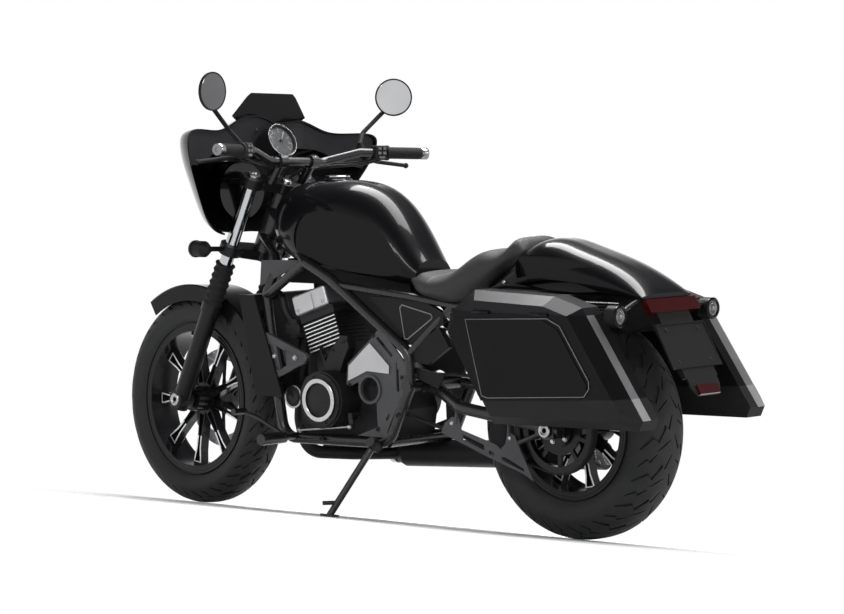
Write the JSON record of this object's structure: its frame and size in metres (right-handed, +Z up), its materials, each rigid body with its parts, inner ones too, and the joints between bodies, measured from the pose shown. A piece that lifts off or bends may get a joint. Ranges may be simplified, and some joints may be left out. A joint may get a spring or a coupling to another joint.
{
  "type": "cruiser motorcycle",
  "caption": "Cruiser motorcycle leaning on its side stand: handlebar fairing, teardrop tank, two-part seat, twin engine in a tube cradle, belt drive and hard panniers with hinged lids.",
  "frame": {"origin": "on the floor under the middle of the whole object's box", "axes": "+X towards the front wheel, +Y to the rider's left, +Z up; the machine leans to +Y on its stand"},
  "size_m": [2.2584, 0.8588, 1.3359],
  "materials": {
    "frame_black": "satin black paint",
    "plate_grey": "dark grey satin paint",
    "engine_black": "matt black crackle",
    "cover_silver": "satin cast aluminium",
    "satin_black": "satin black moulding",
    "exhaust_black": "matt black heat paint",
    "gloss_black": "gloss black lacquer",
    "seat_leather": "dark grey stitched cover",
    "lamp_red": "deep red lens",
    "rubber": "matt black rubber",
    "pannier_black": "satin black moulding",
    "stanchion_chrome": "hard chrome",
    "fork_black": "black anodised",
    "panel_grey": "dark grey grained moulding",
    "dark_screen": "near black tinted screen",
    "lamp_glass": "clear lens over a bright bowl",
    "tyre": "black tyre rubber",
    "wheel_black": "gloss black cast wheel",
    "disc_steel": "brushed steel"
  },
  "bodies": {
    "chassis": {"frame_tubes": "frame_black", "rear_frame": "frame_black", "frame_plates": "plate_grey", "crankcase": "engine_black", "cylinders": "engine_black", "head_cover": "cover_silver", "engine_covers": "engine_black", "side_trim": "cover_silver", "radiator": "satin_black", "exhaust": "exhaust_black", "fuel_tank": "gloss_black", "fuel_cap": "satin_black", "seat": "seat_leather", "tail_cowl": "gloss_black", "rear_fender": "satin_black", "rear_lamps": "lamp_red", "rear_indicators": "satin_black", "number_plate": "satin_black", "side_covers": "satin_black", "swingarm": "frame_black", "shock_absorbers": "frame_black", "drive_belt": "rubber", "belt_guard": "plate_grey", "pannier_shell_left": "pannier_black", "pannier_shell_right": "pannier_black", "foot_controls": "frame_black", "rear_brake": "engine_black"},
    "steering": {"fork_stanchions": "stanchion_chrome", "fork_sliders": "fork_black", "fork_gaiters": "rubber", "yokes": "fork_black", "handlebar": "frame_black", "hand_controls": "rubber", "mirrors": "satin_black", "fairing": "gloss_black", "dash_panel": "panel_grey", "windscreen": "dark_screen", "headlamp": "lamp_glass", "instrument": "satin_black", "front_fender": "gloss_black", "front_indicators": "satin_black", "front_brake": "engine_black"},
    "front_wheel": {"front_tyre": "tyre", "front_rim": "wheel_black", "front_disc": "disc_steel"},
    "rear_wheel": {"rear_tyre": "tyre", "rear_rim": "wheel_black", "rear_pulley": "wheel_black", "rear_disc": "disc_steel"},
    "side_stand": {"side_stand": "frame_black"},
    "pannier_lid_left": {"pannier_lid_left": "gloss_black"},
    "pannier_lid_right": {"pannier_lid_right": "gloss_black"}
  },
  "joints": [
    {"name": "steering", "type": "hinge", "parent": "chassis", "child": "steering", "pos_m": [0.77692, -0.12033, 0.30549], "axis": [-0.4221, 0.134, 0.8966], "range_deg": [-29.6, 40.4]},
    {"name": "front_wheel", "type": "hinge", "parent": "steering", "child": "front_wheel", "pos_m": [0.80851, -0.12141, 0.32052], "axis": [0.0853, 0.9905, -0.1079], "continuous": true},
    {"name": "rear_wheel", "type": "hinge", "parent": "chassis", "child": "rear_wheel", "pos_m": [-0.68135, -0.11807, 0.32101], "axis": [0, 0.989, -0.1478], "continuous": true},
    {"name": "side_stand", "type": "hinge", "parent": "chassis", "child": "side_stand", "pos_m": [-0.0414, 0.04048, 0.21805], "axis": [0.1006, 0.9212, 0.3758], "range_deg": [0, 100]},
    {"name": "pannier_lid_left", "type": "hinge", "parent": "chassis", "child": "pannier_lid_left", "pos_m": [-0.68115, 0.24842, 0.60496], "axis": [-1, 0, 0.0006], "range_deg": [0, 80]},
    {"name": "pannier_lid_right", "type": "hinge", "parent": "chassis", "child": "pannier_lid_right", "pos_m": [-0.68113, -0.38554, 0.6997], "axis": [1, 0, -0.0006], "range_deg": [0, 80]}
  ]
}
